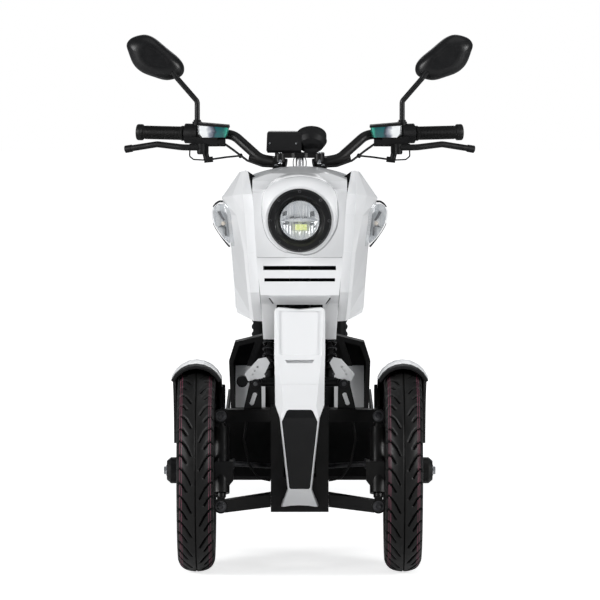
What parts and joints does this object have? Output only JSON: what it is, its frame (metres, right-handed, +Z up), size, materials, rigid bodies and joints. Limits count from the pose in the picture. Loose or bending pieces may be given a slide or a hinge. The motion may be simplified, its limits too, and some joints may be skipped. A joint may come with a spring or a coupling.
{
  "type": "reverse trike scooter",
  "caption": "Electric scooter with a pair of steered front wheels on tilting arms, a driven rear wheel, a faceted white nose and a hinged seat.",
  "frame": {"origin": "on the ground under the middle of the length, in the plane of symmetry", "axes": "+Z up, +X to the rider's left, the trike faces -Y"},
  "size_m": [0.795, 1.8, 1.1732],
  "materials": {
    "frame_paint": "satin",
    "bar_paint": "satin",
    "spring_steel": "gloss",
    "bright_steel": "satin",
    "rim_alloy": "satin",
    "white_panel": "gloss",
    "black_panel": "gloss",
    "black_plastic": "matte",
    "rubber_mat": "matte",
    "grip_rubber": "matte",
    "tyre_rubber": "matte",
    "seat_cover": "satin",
    "reflector": "polished",
    "clear_lens": "gloss",
    "red_lens": "gloss"
  },
  "bodies": {
    "chassis": {"frame": "frame_paint", "suspension_arms": "frame_paint", "uprights": "frame_paint", "shock_absorbers": "spring_steel", "tilt_lock": "bright_steel", "horn": "black_plastic", "front_pillar": "white_panel", "pillar_insert": "black_panel", "nose_shield": "white_panel", "shoulder_left": "white_panel", "shoulder_right": "white_panel", "headlight_bezel": "black_panel", "headlight_lens": "reflector", "front_signals": "clear_lens", "leg_shield": "black_plastic", "leg_panels": "white_panel", "lower_fairing": "black_plastic", "floorboard": "rubber_mat", "battery": "black_plastic", "seat_box": "white_panel", "tail_lamp": "red_lens", "rear_fender": "black_plastic", "wheel_hugger": "black_plastic", "swingarm": "frame_paint", "grab_rail": "frame_paint"},
    "seat": {"seat": "seat_cover"},
    "steering": {"steering_stem": "bright_steel", "handlebar": "bar_paint", "grips": "grip_rubber", "controls_left": "black_plastic", "controls_right": "black_plastic", "mirrors": "black_panel", "instrument": "black_plastic"},
    "knuckle_left": {"knuckle_left": "frame_paint", "fender_left": "white_panel", "fender_liner_left": "black_plastic"},
    "knuckle_right": {"knuckle_right": "frame_paint", "fender_right": "white_panel", "fender_liner_right": "black_plastic"},
    "tie_rod_left": {"tie_rod_left": "bright_steel"},
    "tie_rod_right": {"tie_rod_right": "bright_steel"},
    "front_wheel_left": {"tyre_front_left": "tyre_rubber", "rim_front_left": "rim_alloy"},
    "front_wheel_right": {"tyre_front_right": "tyre_rubber", "rim_front_right": "rim_alloy"},
    "rear_wheel": {"tyre_rear": "tyre_rubber", "rim_rear": "rim_alloy"}
  },
  "joints": [
    {"name": "steering", "type": "hinge", "parent": "chassis", "child": "steering", "pos_m": [0, -0.6124, 0.246], "axis": [0, 0.309, 0.9511], "range_deg": [-32, 32]},
    {"name": "steer_left", "type": "hinge", "parent": "chassis", "child": "knuckle_left", "pos_m": [0.174, -0.676, 0.224], "axis": [0, 0.309, 0.9511], "range_deg": [-32, 32]},
    {"name": "steer_right", "type": "hinge", "parent": "chassis", "child": "knuckle_right", "pos_m": [-0.174, -0.676, 0.224], "axis": [0, 0.309, 0.9511], "range_deg": [-32, 32]},
    {"name": "tie_left", "type": "hinge", "parent": "steering", "child": "tie_rod_left", "pos_m": [0, -0.56485, 0.23055], "axis": [0, 0.309, 0.9511], "range_deg": [-32, 32]},
    {"name": "tie_right", "type": "hinge", "parent": "steering", "child": "tie_rod_right", "pos_m": [0, -0.56485, 0.23055], "axis": [0, 0.309, 0.9511], "range_deg": [-32, 32]},
    {"name": "front_spin_left", "type": "hinge", "parent": "knuckle_left", "child": "front_wheel_left", "pos_m": [0.228, -0.676, 0.224], "axis": [1, 0, 0], "continuous": true},
    {"name": "front_spin_right", "type": "hinge", "parent": "knuckle_right", "child": "front_wheel_right", "pos_m": [-0.228, -0.676, 0.224], "axis": [1, 0, 0], "continuous": true},
    {"name": "rear_spin", "type": "hinge", "parent": "chassis", "child": "rear_wheel", "pos_m": [0, 0.594, 0.229], "axis": [1, 0, 0], "continuous": true},
    {"name": "seat_hinge", "type": "hinge", "parent": "chassis", "child": "seat", "pos_m": [0, -0.066, 0.692], "axis": [1, 0, 0], "range_deg": [0, 75]}
  ],
  "couplings": [
    {"joint": "steer_left", "follows": "steering", "ratio": 1},
    {"joint": "steer_right", "follows": "steering", "ratio": 1},
    {"joint": "tie_left", "follows": "steering", "ratio": -1},
    {"joint": "tie_right", "follows": "steering", "ratio": -1}
  ]
}
